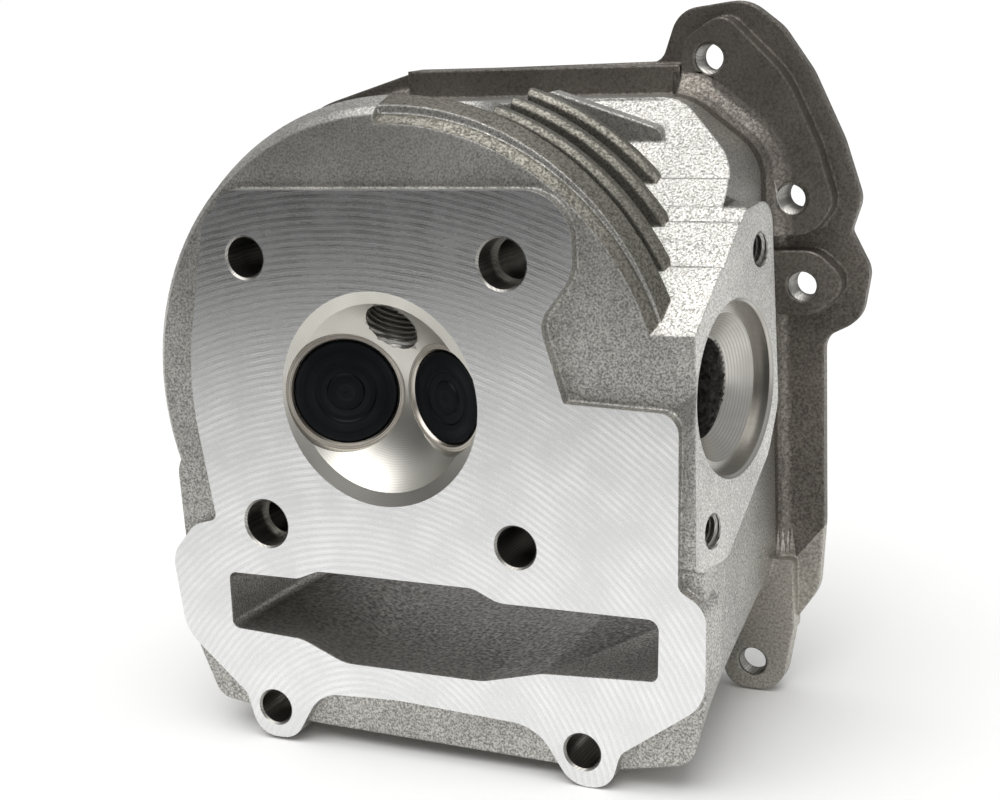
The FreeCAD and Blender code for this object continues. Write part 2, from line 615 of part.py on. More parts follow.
def valve_seat(side):
    """Ring with a 45 degree seat that the valve's ground face meets."""
    r = side["head_r"]
    outer = r + SEAT_WALL
    throat = r - SEAT_LAND
    cone = HEAD_SUNK + HEAD_MARGIN + r + SEAT_GAP * 2 ** 0.5
    mouth_r = r + 0.15
    return turned([(outer, 0), (outer, SEAT_DEPTH), (throat, SEAT_DEPTH), (throat, cone - throat),
                   (mouth_r, cone - mouth_r), (mouth_r, 0.5), (r + 0.55, 0)])


def guide_top():
    return WELL_FLOOR + GUIDE_ABOVE


def valve_guide(side):
    """Bronze guide, with a clip groove at the well's floor and a neck for the seal."""
    bore = STEM_R + STEM_CLEARANCE
    groove = GUIDE_R - CLIP_WIRE / 2
    clip_low = WELL_FLOOR
    neck = WELL_FLOOR + CLIP_WIRE + 1.0
    return turned([(bore, GUIDE_FROM), (GUIDE_R - 1.2, GUIDE_FROM), (GUIDE_R, GUIDE_FROM + 2.5),
                   (GUIDE_R, clip_low), (groove, clip_low), (groove, clip_low + CLIP_WIRE),
                   (GUIDE_R, clip_low + CLIP_WIRE), (GUIDE_R, neck), (GUIDE_NECK_R, neck),
                   (GUIDE_NECK_R, guide_top() - 0.5), (GUIDE_NECK_R - 0.5, guide_top()),
                   (bore, guide_top())])


def guide_clip(side):
    """Open ring of square wire in the guide's groove, resting on the well's floor."""
    groove = GUIDE_R - CLIP_WIRE / 2
    ring = turned([(groove, WELL_FLOOR), (groove + CLIP_WIRE, WELL_FLOOR),
                   (groove + CLIP_WIRE, WELL_FLOOR + CLIP_WIRE), (groove, WELL_FLOOR + CLIP_WIRE)])
    gap = Part.makeBox(2 * GUIDE_R, 2.0, 3 * CLIP_WIRE, V(0, -1.0, WELL_FLOOR - CLIP_WIRE))
    return ring.cut(gap)


def spring_seat(side):
    """Dished washer under both springs, with a lip round the outer one."""
    low = WELL_FLOOR
    hole = GUIDE_R + CLIP_WIRE
    outer = OUTER_COIL_R + OUTER_WIRE / 2 + WELL_CLEARANCE - 0.3
    lip = outer - 0.7
    t = SPRING_SEAT_T
    return turned([(hole, low), (outer, low), (outer, low + t + 0.8), (lip, low + t + 0.8), (lip, low + t),
                   (hole, low + t)])


def stem_seal(side):
    """Rubber cap gripping the guide's neck, its lip just clear of the stem."""
    base = guide_top() - SEAL_HEIGHT * 0.6
    top = base + SEAL_HEIGHT
    outer = GUIDE_NECK_R + SEAL_WALL
    lip = STEM_R + STEM_CLEARANCE
    waist = top - 2.6
    pinch = outer - 0.75
    return turned([(GUIDE_NECK_R, base), (outer, base), (outer, waist), (pinch, waist + 0.3),
                   (pinch, waist + 1.3), (outer - 0.3, waist + 1.6), (outer - 0.5, top),
                   (lip + 0.5, top), (lip, top - 0.6), (lip, top - 1.8), (lip + 0.6, guide_top() + 0.1),
                   (GUIDE_NECK_R - 0.45, guide_top() + 0.1), (GUIDE_NECK_R, guide_top() - 0.4)])


def seal_garter(side):
    """Small wire ring in the seal's waist."""
    top = guide_top() + SEAL_HEIGHT * 0.4
    centre = GUIDE_NECK_R + SEAL_WALL - 0.75 + GARTER_WIRE / 2 + 0.01
    return Part.makeTorus(centre, GARTER_WIRE / 2, V(0, 0, top - 2.6 + 0.8))


def coil(radius, wire, turns):
    """Spring between its seat and the retainer, wire centre line a helix."""
    low = WELL_FLOOR + SPRING_SEAT_T + SPRING_GAP + wire / 2
    high = SPRING_TOP - SPRING_GAP - wire / 2
    pitch = (high - low) / turns
    helix = Part.makeHelix(pitch, high - low, radius)
    section = Part.Wire(Part.makeCircle(wire / 2, V(radius, 0, 0), V(0, 2 * pi * radius, pitch)))
    spring = Part.Wire(helix).makePipeShell([section], True, True)
    spring.translate(V(0, 0, low))
    return spring


def outer_spring(side):
    return coil(OUTER_COIL_R, OUTER_WIRE, OUTER_TURNS)


def inner_spring(side):
    return coil(INNER_COIL_R, INNER_WIRE, INNER_TURNS)


def collet_foot():
    return SPRING_TOP - 0.6


def collet_r(height):
    """Radius of the collets' cone at a height along the stem."""
    return COLLET_TOP_R - (collet_foot() + COLLET_LENGTH - height) * tan(radians(COLLET_ANGLE))


def spring_retainer(side):
    """Steel cap: a flange over the outer spring, a step inside each coil and a taper bore."""
    low = collet_foot() - 0.4
    top = collet_foot() + COLLET_LENGTH
    inner_step = INNER_COIL_R - INNER_WIRE / 2 - 0.25
    outer_step = OUTER_COIL_R - OUTER_WIRE / 2 - 0.25
    gap = 0.01
    hub = collet_r(low) + gap
    flange_top = SPRING_TOP + RETAINER_FLANGE
    return turned([(hub, low), (inner_step - 0.2, low), (inner_step, SPRING_TOP), (outer_step, SPRING_TOP),
                   (RETAINER_R, SPRING_TOP), (RETAINER_R, flange_top - 0.4),
                   (RETAINER_R - 0.4, flange_top), (outer_step - 0.6, flange_top),
                   (outer_step - 1.6, top - 0.3), (collet_r(top) + gap, top - 0.3)])


def collets(side):
    """Two half cones round the stem, each with a bead in the stem's groove."""
    low = collet_foot()
    top = low + COLLET_LENGTH
    bore = STEM_R + 0.01
    cone = turned([(bore, low), (collet_r(low), low), (collet_r(top), top), (bore, top)])
    cone = cone.fuse(Part.makeTorus(STEM_R, GROOVE_R - 0.05, V(0, 0, GROOVE_AT)))
    cone = cone.cut(Part.makeCylinder(STEM_R - GROOVE_R, 4, V(0, 0, GROOVE_AT - 2)))
    saw = Part.makeBox(4 * COLLET_TOP_R, 0.8, 2 * COLLET_LENGTH, V(-2 * COLLET_TOP_R, -0.4, low - 1))
    return cone.cut(saw)


VALVE_PARTS = {
    "valve_seat": valve_seat, "valve_guide": valve_guide, "guide_clip": guide_clip,
    "spring_seat": spring_seat, "stem_seal": stem_seal, "seal_garter": seal_garter,
    "outer_spring": outer_spring, "inner_spring": inner_spring, "valve": valve,
    "spring_retainer": spring_retainer, "collets": collets,
}


def write(name, shape):
    solids = shape.Solids
    shape = solids[0] if len(solids) == 1 else Part.makeCompound(solids)
    shape.exportStep(os.path.join("parts", name + ".step"))
    print(name, "solids", len(solids), "volume %.0f" % shape.Volume, "valid", shape.isValid())


os.makedirs("parts", exist_ok=True)
write("head_casting", head_casting().removeSplitter())
for side_name in ("intake", "exhaust"):
    for part_name, make in VALVE_PARTS.items():
        write(side_name + "_" + part_name, stand(make(valve_side(side_name)), valve_side(side_name)))
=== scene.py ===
# %% [markdown]
# # Cylinder head of a small air-cooled engine
# The object is one aluminium casting with two valves, their springs and the small parts that hold them.
# The CAD model is the frame: it is loaded first, and nothing in it is moved. Blender adds the finishes,
# the real springs and the screw threads, and then a camera and a small studio.

# %% Load the frame
import bmesh
import bpy
import json
import numpy as np
from math import cos, pi, radians, sin
from mathutils import Euler, Matrix, Vector


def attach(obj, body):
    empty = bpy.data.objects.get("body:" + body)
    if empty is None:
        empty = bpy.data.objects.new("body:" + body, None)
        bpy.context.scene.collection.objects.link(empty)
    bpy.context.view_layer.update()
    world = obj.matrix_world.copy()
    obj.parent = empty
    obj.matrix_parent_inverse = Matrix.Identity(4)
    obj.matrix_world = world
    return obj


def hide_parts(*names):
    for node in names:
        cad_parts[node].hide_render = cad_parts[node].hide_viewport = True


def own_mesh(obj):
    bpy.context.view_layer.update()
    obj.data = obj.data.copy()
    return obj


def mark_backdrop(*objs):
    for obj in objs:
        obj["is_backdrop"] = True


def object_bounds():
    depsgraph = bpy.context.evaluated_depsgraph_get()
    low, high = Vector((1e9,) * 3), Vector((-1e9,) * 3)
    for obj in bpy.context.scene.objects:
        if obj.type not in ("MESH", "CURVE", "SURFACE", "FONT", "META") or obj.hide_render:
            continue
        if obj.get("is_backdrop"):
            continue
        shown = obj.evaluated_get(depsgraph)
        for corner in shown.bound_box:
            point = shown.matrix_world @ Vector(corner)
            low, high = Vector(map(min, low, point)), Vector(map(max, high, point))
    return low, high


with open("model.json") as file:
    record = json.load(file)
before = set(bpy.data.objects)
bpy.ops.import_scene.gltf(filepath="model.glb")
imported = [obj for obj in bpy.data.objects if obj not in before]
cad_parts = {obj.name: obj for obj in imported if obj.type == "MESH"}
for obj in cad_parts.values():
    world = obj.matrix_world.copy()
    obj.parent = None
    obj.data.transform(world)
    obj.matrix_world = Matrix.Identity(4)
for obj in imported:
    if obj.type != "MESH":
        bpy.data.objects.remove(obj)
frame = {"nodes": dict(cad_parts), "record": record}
nodes = frame["nodes"]
mounts = {m["name"]: m for m in frame["record"]["mounts"]}
cad_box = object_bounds()
MM = 0.001

# %% [markdown]
# ## Colours and nodes
# Colours are written as sRGB hex values, as a paint shop would, and one function turns them to the linear
# values a shader works in. One more function adds any node: its settings, its socket values and its
# links in one line, so a material reads from top to bottom.

# %% Helpers for colours and nodes
def linear(hex_colour):
    """sRGB hex to linear RGBA: below 0.04045 a division by 12.92, above it a power of 2.4."""
    c = np.array([int(hex_colour[i:i + 2], 16) for i in (1, 3, 5)]) / 255
    low, high = c / 12.92, ((c + 0.055) / 1.055) ** 2.4
    return (*np.where(c <= 0.04045, low, high).tolist(), 1.0)


def node(tree, kind, sockets=None, **settings):
    """Adds one node. settings go on the node; sockets maps a socket to a value or to an output."""
    made = tree.nodes.new("ShaderNode" + kind)
    for name, value in settings.items():
        setattr(made, name, value)
    for name, value in (sockets or {}).items():
        if isinstance(value, bpy.types.NodeSocket):
            tree.links.new(value, made.inputs[name])
        else:
            made.inputs[name].default_value = value
    return made


def new_material(name):
    """An empty material: its node tree and the shader that every finish here ends in."""
    material = bpy.data.materials.new(name)
    material.use_nodes = True
    tree = material.node_tree
    tree.nodes.clear()
    shader = node(tree, "BsdfPrincipled")
    node(tree, "OutputMaterial", {"Surface": shader.outputs["BSDF"]})
    return material, tree, shader


def per_mm(size):
    """Scale of a noise or cell pattern whose features are size millimetres wide."""
    return 1 / (size * MM)


def ring_scale(spacing):
    """Scale of a wave pattern whose lines are spacing millimetres apart: one line is 2 pi / 20 units."""
    return 2 * pi / 20 / (spacing * MM)


print("white is", linear("#FFFFFF")[:3])

# %% [markdown]
# ## Blasted casting
# The body is an aluminium gravity die casting, grit blasted after the runners were cut off. Blasting leaves
# small dents about a fifth of a millimetre wide, each of which catches the light another way, so the
# metal sparkles grey and white like coarse salt. A noise at that size drives the colour and the bump, a
# second one at 9 mm gives the slow changes of tone that the mould left, and a cell pattern the rare dark
# pits. The same recipe, coarser or darker, serves the parts that were never blasted; the darker copies
# also paint shade on the back flange and on the fronts of the fins.

# %% Cast finishes
PIT_SPACING = 2.2


def casting(name, bright, dull, grain=0.2, depth=0.07, rough=0.46, patch=9.0, pits=0.25, soft_edge=0.7):
    """Aluminium casting, blasted or as cast: metallic 1, dents grain mm wide and depth mm deep, patches
    of tone patch mm wide, and pits that take away the share pits of the light. Sharp corners don't
    fill with melt, so the Bevel node rounds them by soft_edge mm."""
    material, tree, shader = new_material(name)
    place = node(tree, "TexCoord").outputs["Object"]
    dents = node(tree, "TexNoise", {"Vector": place, "Scale": per_mm(grain * 2), "Detail": 3.0,
                                    "Roughness": 0.62})
    contrast = node(tree, "MapRange", {"Value": dents.outputs["Fac"], "From Min": 0.36, "From Max": 0.64})
    tone = node(tree, "TexNoise", {"Vector": place, "Scale": per_mm(patch * 2), "Detail": 3.0})
    slow = node(tree, "MapRange", {"Value": tone.outputs["Fac"], "From Min": 0.3, "From Max": 0.7,
                                   "To Min": 0.78, "To Max": 1.08})
    skin = node(tree, "Mix", {0: contrast.outputs["Result"], 6: linear(dull), 7: linear(bright)},
                data_type="RGBA")
    shade = node(tree, "VectorMath", {0: skin.outputs[2], "Scale": slow.outputs["Result"]},
                 operation="SCALE")
    cells = node(tree, "TexVoronoi", {"Vector": place, "Scale": per_mm(PIT_SPACING)})
    pit = node(tree, "MapRange", {"Value": cells.outputs["Distance"], "From Min": 0.08, "From Max": 0.16,
                                  "To Min": 1 - pits, "To Max": 1.0})
    colour = node(tree, "VectorMath", {0: shade.outputs[0], "Scale": pit.outputs["Result"]},
                  operation="SCALE")
    tree.links.new(colour.outputs[0], shader.inputs["Base Color"])
    worn = node(tree, "MapRange", {"Value": dents.outputs["Fac"], "From Min": 0.3, "From Max": 0.7,
                                   "To Min": rough + 0.12, "To Max": rough - 0.12})
    tree.links.new(worn.outputs["Result"], shader.inputs["Roughness"])
    corner = node(tree, "Bevel", {"Radius": soft_edge * MM}, samples=4)
    fine = node(tree, "Bump", {"Height": dents.outputs["Fac"], "Distance": depth * MM, "Strength": 1.0,
                               "Normal": corner.outputs["Normal"]})
    soft = node(tree, "Bump", {"Height": tone.outputs["Fac"], "Distance": 0.5 * MM, "Strength": 0.5,
                               "Normal": fine.outputs["Normal"]})
    tree.links.new(soft.outputs["Normal"], shader.inputs["Normal"])
    shader.inputs["Metallic"].default_value = 1.0
    return material


blasted = casting("blasted_aluminium_casting", "#DCDAD5", "#8A8883")
# darker back flange: partly as cast, partly painted shade of the recess behind the body
back_flange_and_painted_shade = casting("dark_flange_and_painted_shade", "#918C85", "#67625C", grain=0.26, rough=0.5, patch=7.0)
pale_skin = casting("pale_cast_lug", "#D4D0C8", "#A19D95", grain=0.26, rough=0.5)
core_skin = casting("sand_core_hollow", "#B9B7B3", "#84827E", grain=0.4, rough=0.5, patch=14.0, pits=0.1)
# olive fin rims as cast; the same dark skin also paints shade on the fins' front faces and the rim's chamfer
fin_rim_and_painted_shade = casting("olive_fin_rim_and_painted_shade", "#96938A", "#5F5C55", grain=0.24, rough=0.5, patch=6.0)
port_skin = casting("rough_port_wall", "#7C7A77", "#3B3A38", grain=0.7, depth=0.3, rough=0.6, pits=0.4)
cast_finishes = [blasted, back_flange_and_painted_shade, pale_skin, core_skin, fin_rim_and_painted_shade, port_skin]
print("cast finishes:", [m.name for m in cast_finishes])

# %% [markdown]
# ## Milled deck
# The gasket face is cut by a wide face mill in one pass. Its teeth leave arcs of the cutter's radius, a
# little over a millimetre apart, that bulge upwards because the cutter's middle passed below the chamber.
# One wave pattern draws rings round that middle and a second, finer one lies over it. A noise with
# patches a few millimetres wide makes both fainter here and there, because a cutter never presses evenly.
# Milled aluminium is bright and almost white, roughness about a quarter.

# %% Machined finishes
FINER, FINER_SHARE = 0.37, 0.45       # the second set of rings: its spacing and its weight, as shares
BOTH_RINGS = 1 + FINER_SHARE          # the most that the two sets add up to


def turned_metal(name, bright, dull, spacing, rough, depth=0.008, middle=(0, 0, 0), turn=(0, 0, 0),
                 wobble=0.6, stain=0.12, axis="Z"):
    """Metal with cutter rings spacing mm apart and depth mm deep, round one axis of a frame put at middle
    (mm) and turned by turn (degrees). wobble bends the rings, stain is the share of slow darkening."""
    material, tree, shader = new_material(name)
    place = node(tree, "TexCoord").outputs["Object"]
    local = node(tree, "Mapping", {"Vector": place, "Location": [v * MM for v in middle],
                                   "Rotation": [radians(v) for v in turn]}, vector_type="TEXTURE")
    rings = node(tree, "TexWave", {"Vector": local.outputs[0], "Scale": ring_scale(spacing),
                                   "Distortion": wobble, "Detail": 2.0, "Detail Scale": 0.6},
                 wave_type="RINGS", rings_direction=axis)
    finer = node(tree, "TexWave", {"Vector": local.outputs[0], "Scale": ring_scale(spacing * FINER),
                                   "Distortion": wobble * 2, "Detail": 2.0},
                 wave_type="RINGS", rings_direction=axis)
    both = node(tree, "Math", {0: finer.outputs["Fac"], 1: FINER_SHARE, 2: rings.outputs["Fac"]},
                operation="MULTIPLY_ADD")
    cloud = node(tree, "TexNoise", {"Vector": place, "Scale": per_mm(16), "Detail": 4.0})
    hit = node(tree, "TexNoise", {"Vector": place, "Scale": per_mm(9), "Detail": 3.0})
    press = node(tree, "MapRange", {"Value": hit.outputs["Fac"], "From Min": 0.35, "From Max": 0.65,
                                    "To Min": 0.25, "To Max": 1.0})
    both = node(tree, "Math", {0: both.outputs[0], 1: press.outputs["Result"]}, operation="MULTIPLY")
    mixed = node(tree, "MapRange", {"Value": both.outputs[0], "From Min": 0.0,
                                    "From Max": BOTH_RINGS})
    skin = node(tree, "Mix", {0: mixed.outputs["Result"], 6: linear(dull), 7: linear(bright)},
                data_type="RGBA")
    slow = node(tree, "MapRange", {"Value": cloud.outputs["Fac"], "From Min": 0.3, "From Max": 0.7,
                                   "To Min": 1 - stain, "To Max": 1.0})
    colour = node(tree, "VectorMath", {0: skin.outputs[2], "Scale": slow.outputs["Result"]},
                  operation="SCALE")
    tree.links.new(colour.outputs[0], shader.inputs["Base Color"])
    worn = node(tree, "MapRange", {"Value": both.outputs[0], "From Min": 0.0, "From Max": BOTH_RINGS,
                                   "To Min": rough + 0.06, "To Max": rough - 0.05})
    tree.links.new(worn.outputs["Result"], shader.inputs["Roughness"])
    bump = node(tree, "Bump", {"Height": both.outputs[0], "Distance": depth * MM, "Strength": 1.0})
    tree.links.new(bump.outputs["Normal"], shader.inputs["Normal"])
    shader.inputs["Metallic"].default_value = 1.0
    return material


deck = turned_metal("milled_deck", "#F3F3F2", "#E2E2E2", 1.3, 0.24, middle=(-6, 0, -78), axis="Y",
                    wobble=1.6, stain=0.02, depth=0.0045)
chamber = turned_metal("turned_chamber", "#DEDCD5", "#CAC7BF", 0.4, 0.36, axis="Y", depth=0.004)
bore = turned_metal("drilled_bore", "#C4C2BD", "#87847F", 0.5, 0.32, axis="Y", depth=0.01, wobble=2.0)
exhaust_skin = casting("grained_exhaust_face", "#DDDCD8", "#AAA9A5", grain=0.18, depth=0.04, rough=0.42,
                       soft_edge=0.4, pits=0.1)
side_face = turned_metal("milled_side_face", "#D2D1CE", "#B5B4B0", 1.3, 0.36, middle=(62, -60, 10),
                         axis="X", wobble=1.5, depth=0.004)
print("machined finishes:", deck.name, chamber.name, bore.name, exhaust_skin.name, side_face.name)

# %% [markdown]
# ## The exhaust seat
# The gasket seat is bored with the same spindle as the face, so its rings run round the port's own axis.
# The frame of the pattern sits at the port's centre, with its Z axis along the port.

# %% Exhaust side finishes
out = Vector(mounts["exhaust_face"]["axis"])
port_mid = Vector(mounts["exhaust_gasket_seat"]["pos_m"]) / MM
tilt = out.to_track_quat("Z", "Y").to_euler()
seat_turn = [a * 180 / pi for a in tilt]
gasket_seat = turned_metal("bored_gasket_seat", "#D3D1CC", "#A9A6A0", 0.45, 0.3, middle=port_mid,
                           turn=seat_turn, depth=0.006)
print("port centre in mm:", [round(v, 1) for v in port_mid])

# %% [markdown]
# ## Black valves, ground seats, bronze guides
# Both valves are steel, turned on the face, then blackened in a hot salt bath: a matt skin that still shows
# the lathe's rings. Each valve leans 21 degrees from the deck's normal, so the pattern's frame is turned
# the same way. The seat rings are ground and have a slight straw tint from the heat of pressing them in.

# %% Valve finishes
VALVE_TILT = 21.0
VALVE_BASE = {"intake": (-9.2, 4.5, 0.0), "exhaust": (11.3, 4.5, 0.0)}
VALVE_SIDE = {"intake": 1, "exhaust": -1}
VALVE_LEAN = {side: radians(VALVE_TILT) * sign for side, sign in VALVE_SIDE.items()}
STEM_AXIS = {side: (-sin(lean), cos(lean), 0) for side, lean in VALVE_LEAN.items()}
valve_metals = {}
for side, base in VALVE_BASE.items():
    turn = (-90, 0, VALVE_SIDE[side] * VALVE_TILT)
    valve_metals[side] = {
        "valve": turned_metal(f"black_oxide_valve_{side}", "#26282A", "#1C1E20", 2.6, 0.4, middle=base,
                              turn=turn, depth=0.02, wobble=0.2, stain=0.3),
        "seat": turned_metal(f"ground_seat_{side}", "#CBC6BD", "#999289", 0.45, 0.24, middle=base,
                             turn=turn, depth=0.01),
        "guide": turned_metal(f"turned_bronze_{side}", "#C9A15F", "#8C6A38", 0.4, 0.3, middle=base,
                              turn=turn, depth=0.01),
        "cap": turned_metal(f"hardened_steel_cap_{side}", "#9C9C9E", "#5B5B5E", 0.6, 0.33, middle=base,
                            turn=turn, depth=0.015),
    }
spring_steel = casting("peened_spring_steel", "#6E7074", "#3A3B3E", grain=0.25, depth=0.03, rough=0.36)
print("valve finishes:", {k: len(v) for k, v in valve_metals.items()})

# %% [markdown]
# ## Seal rubber
# The stem seals are moulded fluoro rubber, matt and slightly green. Rubber isn't a metal: its IOR is 1.5,
# and the light comes from its body, so it stays dark with a soft sheen.

# %% Rubber
rubber, tree, shader = new_material("moulded_seal_rubber")
place = node(tree, "TexCoord").outputs["Object"]
mould = node(tree, "TexNoise", {"Vector": place, "Scale": per_mm(0.8), "Detail": 3.0})
tint = node(tree, "Mix", {0: mould.outputs["Fac"], 6: linear("#2E3B2B"), 7: linear("#44543F")},
            data_type="RGBA")
tree.links.new(tint.outputs[2], shader.inputs["Base Color"])
skin = node(tree, "Bump", {"Height": mould.outputs["Fac"], "Distance": 0.05 * MM})
tree.links.new(skin.outputs["Normal"], shader.inputs["Normal"])
shader.inputs["Roughness"].default_value = 0.55
shader.inputs["IOR"].default_value = 1.5
print("rubber:", rubber.name)

# %% [markdown]
# ## Which face has which finish
# One casting carries many finishes: where a cutter has been it is bright, elsewhere it is as blasted. The
# mesh of the casting stays as the CAD made it. Each of its triangles is only told which material it
# has, from where its centre lies and which way it faces, all triangles at once.

# %% Measure every triangle of the casting
casting_mesh = nodes["head_casting"].data
count = len(casting_mesh.polygons)
centre = np.zeros(count * 3)
facing = np.zeros(count * 3)
casting_mesh.polygons.foreach_get("center", centre)
casting_mesh.polygons.foreach_get("normal", facing)
centre = centre.reshape(-1, 3) / MM
facing = facing.reshape(-1, 3)
x, y, z = centre.T
nx, ny, nz = facing.T


def between(values, low, high):
    """True where a value lies between two limits."""
    return (values > low) & (values < high)


def off_axis(point, axis):
    """Distance from a line, and place along it, for every triangle's centre."""
    axis = np.array(axis, float) / np.linalg.norm(axis)
    away = centre - np.array(point, float)
    along = away @ axis
    return np.linalg.norm(away - along[:, None] * axis, axis=1), along


def in_hole(point, axis, radius, start, end):
    """Triangles on the wall of a hole, between two depths along its axis."""
    distance, along = off_axis(point, axis)
    return (distance < radius) & between(along, start, end)


print("triangles in the casting:", count)

# %% [markdown]
# ## Cast regions
# The edges of the fins on the right are olive as cast, darker than the body, and the same dark skin paints
# shade on the fins' front faces and on the rim's chamfer. The flange at the back is darker too, partly as
# cast and partly painted shade of its recess, down to its pale lug. The chain tunnel and the cam box were
# hollowed by a sand core: those are the faces that look towards the middle of the hollow.

# %% Mark the cast regions
finish = {m: i for i, m in enumerate([blasted, exhaust_skin, back_flange_and_painted_shade, pale_skin, core_skin, fin_rim_and_painted_shade,
                                      port_skin, deck, chamber, bore, side_face, gasket_seat])}
RIM_X, RIM_R = 3, 50.9                # the round rim's middle, and the radius where its dark edge begins
STEP_Y, STEP_DROP = 4.75, 1.6         # the front layer of the rim ends here, and sits this much lower
FINS_FRONT, FINS_BACK = 12, 32
BOX_FRONT, BOX_BACK = 39, 59.9        # the cam box behind its front wall
LUG_TOP = -38
TUNNEL_Z = -44
zone = np.zeros(count, int)
rim_x, rim_z = x - RIM_X, z + np.where(y < STEP_Y, STEP_DROP, 0.0)
rim_r = np.hypot(rim_x, rim_z)
faces_out = nx * rim_x + nz * rim_z > 0.6 * rim_r
# the outward rim band, chamfer included: olive as cast, and painted shade over the chamfer's highlight
zone[between(y, 2.55, FINS_BACK) & (rim_r > RIM_R) & (x > 1.4) & (z > 0) & faces_out] = finish[fin_rim_and_painted_shade]
# painted shade: the fins' front faces, turned away from the overhead light, take the dark rim skin
fin_fronts = between(y, FINS_FRONT, FINS_BACK) & (np.hypot(rim_x, z) > 40) & (x > 8)
zone[fin_fronts & (ny < -0.98)] = finish[fin_rim_and_painted_shade]

beyond_box = (x > 58.2) | (x < -50.2) | (z > 50.2) | (z < -61.2)
# painted shade, partly as cast: the forward-facing faces at the back and the whole back plate take the dark
# flange skin above the lug
rear = ((y > 46.5) & (ny < -0.12)) | ((y > 50) & beyond_box) | (y > 56)
zone[rear & (z > LUG_TOP)] = finish[back_flange_and_painted_shade]
zone[rear & (z <= LUG_TOP)] = finish[pale_skin]

tunnel = between(y, 4, BOX_FRONT) & between(z, -57.5, -30) & between(x, -30.5, 42) & (np.abs(ny) < 0.9)
zone[tunnel & (x * nx + (z - TUNNEL_Z) * nz < 0)] = finish[core_skin]
cam_box = between(y, BOX_FRONT, BOX_BACK) & between(x, -46, 54) & between(z, -58, 46)
zone[cam_box & (x * nx + z * nz <= 0.01)] = finish[core_skin]
print("cast regions:", {m.name: int((zone == finish[m]).sum()) for m in cast_finishes})

# %% [markdown]
# ## Ports and machined regions
# Each port runs straight in from its face to an elbow behind the valve, then forwards to the seat, with a
# rough wall all the way. The cutters came last, so their regions are marked last and lie over the cast ones.

# %% Mark the ports, faces and bores
ELBOW_Y, PORT_R = 17.5, 9.4
INTAKE_MOUTH = (-50.0, 22.0, 0.0)
FLAT = 0.99                           # a face this square to an axis is a machined flat
STUD_X, STUD_Z, STUD_HOLE_R = 26, 25.5, 5.1
EAR_X, EAR_REACH, EAR_Z, EAR_HOLE_R = 5, 32.3, -63, 3.8
BEHIND = 0.001                        # holes and hollows start this far behind the deck
DEPTH = (0, 1, 0)
port_centre = np.array(port_mid)
outward = np.array(out)
mouth_r, along_port = off_axis(port_centre, outward)
for side, mouth in (("exhaust", port_centre), ("intake", np.array(INTAKE_MOUTH))):
    seat = np.array(VALVE_BASE[side])
    elbow = seat + (ELBOW_Y - seat[1]) / cos(radians(VALVE_TILT)) * np.array(STEM_AXIS[side])
    run = mouth - elbow
    zone[in_hole(elbow, run, PORT_R, -PORT_R, np.linalg.norm(run))] = finish[port_skin]
    zone[in_hole(elbow, seat - elbow, PORT_R, -1, 12)] = finish[port_skin]
zone[between(mouth_r, 8.6, 15.95) & between(along_port, -6.3, 1.68)] = finish[gasket_seat]
face_out = (centre - np.array(mounts["exhaust_face"]["pos_m"]) / MM) @ outward
zone[(np.abs(face_out) < 0.05) & (facing @ outward > FLAT)] = finish[exhaust_skin]
zone[(x < -49.9) & (nx < -FLAT) & between(y, 9, 36) & (np.abs(z) < 25.2)] = finish[side_face]
zone[(y > 59.95) & (ny > FLAT)] = finish[side_face]
zone[(np.hypot(x, z) < 20.2) & between(y, BEHIND, 9.4)] = finish[chamber]

for hole_x in (-STUD_X, STUD_X):
    for hole_z in (-STUD_Z, STUD_Z):
        zone[in_hole((hole_x, 0, hole_z), DEPTH, STUD_HOLE_R, BEHIND, 60)] = finish[bore]
for hole_x in (EAR_X - EAR_REACH, EAR_X + EAR_REACH):
    zone[in_hole((hole_x, 0, EAR_Z), DEPTH, EAR_HOLE_R, BEHIND, 14)] = finish[bore]
for mount in mounts.values():
    if mount["kind"] == "threaded_hole":
        half = mount["dims"]["length_mm"] / 2 + 0.4
        zone[in_hole(np.array(mount["pos_m"]) / MM, mount["axis"], mount["dims"]["r_mm"] + 0.25,
                     -half, half)] = finish[bore]
for side, base in VALVE_BASE.items():
    distance, along = off_axis(base, STEM_AXIS[side])
    guide_hole, spring_floor = between(distance, 2, 5.3), between(distance, 2, 11.8) & (along > 28.5)
    zone[between(along, 12, 32) & (guide_hole | spring_floor)] = finish[bore]
zone[(np.abs(y) < 0.02) & (ny < -FLAT)] = finish[deck]

casting_mesh.materials.clear()
for material in finish:
    casting_mesh.materials.append(material)
casting_mesh.polygons.foreach_set("material_index", zone.astype(np.int32))
casting_mesh.update()
print("triangles per finish:", {m.name: int((zone == i).sum()) for m, i in finish.items()})

# %% [markdown]
# ## Small parts
# Every other piece has one finish all over. The parts round a stem are turned, so their rings run round
# that stem. The seal is rubber, and what is left is spring wire.

# %% Give the small parts their finishes
SMALL_PARTS = {"valve": "valve", "valve_seat": "seat", "valve_guide": "guide", "spring_seat": "cap",
               "spring_retainer": "cap", "collets": "cap"}
for name, piece in nodes.items():
    if name == "head_casting":
        continue
    side, part = name.split("_", 1)
    material = valve_metals[side].get(SMALL_PARTS.get(part), spring_steel)
    if part == "stem_seal":
        material = rubber
    piece.data.materials.clear()
    piece.data.materials.append(material)
print("small parts finished:", len(nodes) - 1)

# %% [markdown]
# ## Springs and threads
# Both are one closed profile carried along a helix. In numpy the helix is a row of stations, each with a
# radial and an axial direction, and the profile a ring of points in those two directions, so the whole
# surface is one multiplication. A spring's wire is round, and its two ends are ground flat.
# A screw thread is a thin pointed ridge on the wall of its hole.

# %% Profile along a helix
def axis_frame(origin, axis):
    """4x4 matrix that puts a part drawn round Z, in metres, with its origin at a point and Z on an axis."""
    turn = Vector(axis).normalized().to_track_quat("Z", "Y").to_matrix().to_4x4()
    return np.array(Matrix.Translation(Vector(origin)) @ turn)


